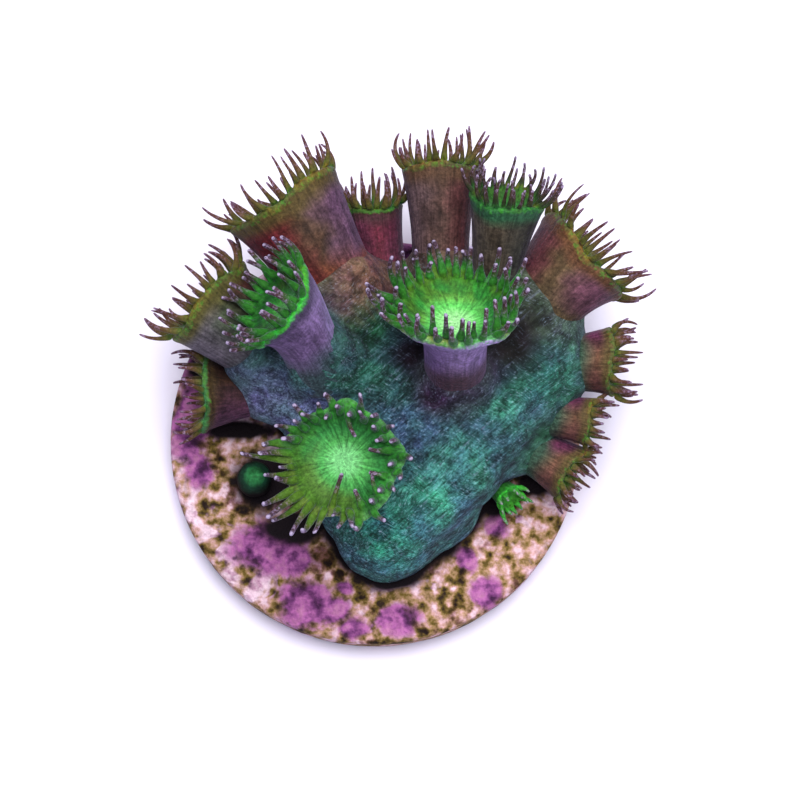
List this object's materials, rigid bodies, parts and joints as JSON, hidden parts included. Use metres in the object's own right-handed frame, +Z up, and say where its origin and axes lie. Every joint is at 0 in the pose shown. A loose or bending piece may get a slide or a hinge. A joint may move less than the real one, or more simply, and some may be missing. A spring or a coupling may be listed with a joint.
{
  "type": "button polyp coral on a frag disc",
  "caption": "Colony of tall button polyps with fringed mouths, leaning out of a fleshy green mound grown over a round frag disc.",
  "frame": {"origin": "centre of the frag disc's flat underside", "axes": "+Z up out of the disc's top, -Y towards the front, where the mound's tongue reaches the disc, +X to the right as seen from the front"},
  "size_m": [0.0392, 0.038, 0.0244],
  "materials": {
    "crusted_ceramic": "pale grainy ceramic grown over with purple coralline crust and an olive-gold film",
    "mat_flesh": "soft teal-green flesh with fine blue-grey fibres, darker and purple in the hollows",
    "brown_polyp_flesh": "moist flesh, maroon to olive brown, with a bright green lip and brown tentacles with pale violet tips",
    "green_polyp_flesh": "moist flesh, bright green oral disc with a pale centre, violet tentacle tips and a violet-grey or teal tube"
  },
  "bodies": {
    "root": {"frag_disc": "crusted_ceramic", "fleshy_mound": "mat_flesh", "closed_bud": "mat_flesh", "polyp_left": "brown_polyp_flesh", "polyp_back_left": "brown_polyp_flesh", "polyp_back_small": "brown_polyp_flesh", "polyp_back": "brown_polyp_flesh", "polyp_back_right": "brown_polyp_flesh", "polyp_right": "brown_polyp_flesh", "polyp_right_middle": "brown_polyp_flesh", "polyp_right_front": "brown_polyp_flesh", "polyp_under_left": "brown_polyp_flesh", "polyp_top": "green_polyp_flesh", "polyp_top_left": "green_polyp_flesh", "polyp_front": "green_polyp_flesh", "polyp_back_upper": "green_polyp_flesh", "polyp_under_right": "green_polyp_flesh"}
  },
  "joints": []
}
